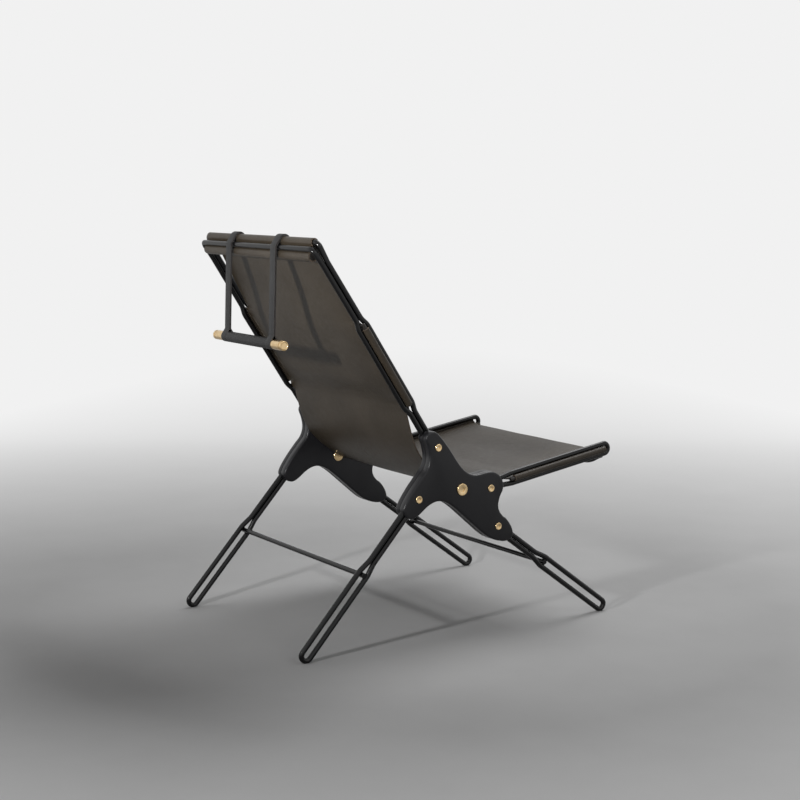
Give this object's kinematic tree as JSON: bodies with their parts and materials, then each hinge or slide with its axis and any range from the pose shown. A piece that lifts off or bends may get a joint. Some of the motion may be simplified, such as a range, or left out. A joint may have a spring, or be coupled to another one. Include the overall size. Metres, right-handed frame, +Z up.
{
  "type": "sling lounge chair",
  "caption": "Low lounge chair: leather sling on bent black rods clamped in side plates, with a neck pillow hung over the top from a counterweighted handle.",
  "frame": {"origin": "on the floor under the middle of the chair's length and width", "axes": "+Z up, -Y the way the chair faces, +X its left side"},
  "size_m": [0.583, 0.8482, 0.9005],
  "materials": {
    "slab_black": "satin black, edges rounded",
    "steel_black": "satin black powder coat",
    "brass": "turned brass, lightly brushed",
    "sling_leather": "thick grey-brown saddle leather, fine grain",
    "strap_leather": "charcoal leather, two layers",
    "pillow_leather": "soft charcoal leather over a light filling",
    "dowel_wood": "dark stained wood"
  },
  "bodies": {
    "chair": {"slab_outer_left": "slab_black", "slab_outer_right": "slab_black", "slab_inner_left": "slab_black", "slab_inner_right": "slab_black", "back_bolt_left": "brass", "back_bolt_right": "brass", "seat_bolt_left": "brass", "seat_bolt_right": "brass", "rear_leg_bolt_left": "brass", "rear_leg_bolt_right": "brass", "front_leg_bolt_left": "brass", "front_leg_bolt_right": "brass", "hub_bolt_left": "brass", "hub_bolt_right": "brass", "hub_nut_left": "brass", "hub_nut_right": "brass", "rear_leg_left": "steel_black", "rear_leg_right": "steel_black", "front_leg_left": "steel_black", "front_leg_right": "steel_black", "rear_cross_bar": "steel_black", "front_cross_bar": "steel_black", "seat_rod_left": "steel_black", "seat_rod_right": "steel_black", "seat_lip_bar": "steel_black", "back_bow_front": "steel_black", "back_bow_rear": "steel_black", "sling_back": "sling_leather", "sling_fold": "sling_leather", "sling_seat": "sling_leather", "back_hem_left": "sling_leather", "back_hem_right": "sling_leather", "seat_hem_left": "sling_leather", "seat_hem_right": "sling_leather", "top_hem": "sling_leather", "back_dowel_left": "dowel_wood", "back_dowel_right": "dowel_wood", "seat_dowel_left": "dowel_wood", "seat_dowel_right": "dowel_wood", "top_dowel": "dowel_wood", "strap_over_left": "strap_leather", "strap_over_right": "strap_leather"},
    "headrest": {"neck_pillow": "pillow_leather", "strap_front_left": "strap_leather", "strap_front_right": "strap_leather"},
    "straps": {"strap_rear_left": "strap_leather", "strap_rear_right": "strap_leather"},
    "counterweight": {"strap_loop_left": "strap_leather", "strap_loop_right": "strap_leather", "handle_core": "steel_black", "handle_wrap": "strap_leather", "handle_cap_left": "brass", "handle_cap_right": "brass"}
  },
  "joints": [
    {"name": "pillow_slide", "type": "slide", "parent": "chair", "child": "headrest", "axis": [0, 0.5476, 0.8368], "range_m": [-0.12, 0.02], "deforming": ["strap_front_left", "strap_front_right"]},
    {"name": "strap_swing", "type": "hinge", "parent": "chair", "child": "straps", "pos_m": [0, 0.38334, 0.87203], "axis": [1, 0, 0], "range_deg": [-8, 60], "deforming": ["strap_over_left", "strap_over_right"]},
    {"name": "counterweight_slide", "type": "slide", "parent": "straps", "child": "counterweight", "axis": [0, 0.0314, -0.9995], "range_m": [-0.12, 0.02], "deforming": ["strap_rear_left", "strap_rear_right"]}
  ],
  "couplings": [
    {"joint": "counterweight_slide", "follows": "pillow_slide", "ratio": 1}
  ]
}
